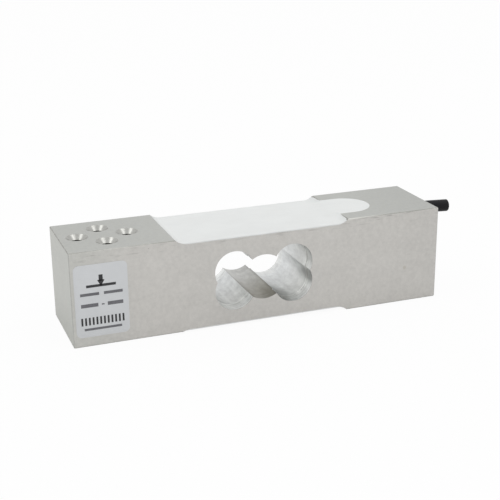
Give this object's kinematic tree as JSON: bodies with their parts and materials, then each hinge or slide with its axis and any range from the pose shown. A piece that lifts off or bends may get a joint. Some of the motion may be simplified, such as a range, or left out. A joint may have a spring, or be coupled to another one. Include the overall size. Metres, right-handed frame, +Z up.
{
  "type": "single point load cell",
  "caption": "Milled aluminium bending beam with a lobed cut-out, tapped holes at both ends, silicone over its gauges and a short cable stub.",
  "frame": {"origin": "middle of the fixed end's bolt diamond, on that end's underside seat", "axes": "+Z up, from the seat to the load end's platform face; +X along the bar, towards the fixed end's face and its cable; the load end lies at -X"},
  "size_m": [0.1641, 0.0352, 0.038],
  "materials": {
    "bar": "milled and brushed",
    "sealant": "white silicone",
    "board": "glass-epoxy laminate",
    "copper": "bare copper",
    "chip": "glazed chip",
    "lead_enamel": "enamelled",
    "jacket": "extruded",
    "shield": "tinned braid",
    "core_red": "extruded",
    "core_black": "extruded",
    "core_green": "extruded",
    "core_white": "extruded",
    "seal": "moulded",
    "label": "satin film",
    "carrier": "amber film",
    "foil": "etched foil"
  },
  "bodies": {
    "root": {"board_pads": "copper", "bottom_gauge_leads": "lead_enamel", "bottom_sealant": "sealant", "bridge_board": "board", "cable_jacket": "jacket", "cable_seal": "seal", "cable_shield": "shield", "core_black": "core_black", "core_conductors": "copper", "core_green": "core_green", "core_red": "core_red", "core_white": "core_white", "drain_wire": "shield", "gauge_carrier_bottom_fixed": "carrier", "gauge_carrier_bottom_load": "carrier", "gauge_carrier_top_fixed": "carrier", "gauge_carrier_top_load": "carrier", "gauge_foil_bottom_fixed": "foil", "gauge_foil_bottom_load": "foil", "gauge_foil_top_fixed": "foil", "gauge_foil_top_load": "foil", "label": "label", "spring_element": "bar", "top_gauge_leads": "lead_enamel", "top_sealant": "sealant", "trim_resistors": "chip"}
  },
  "joints": []
}
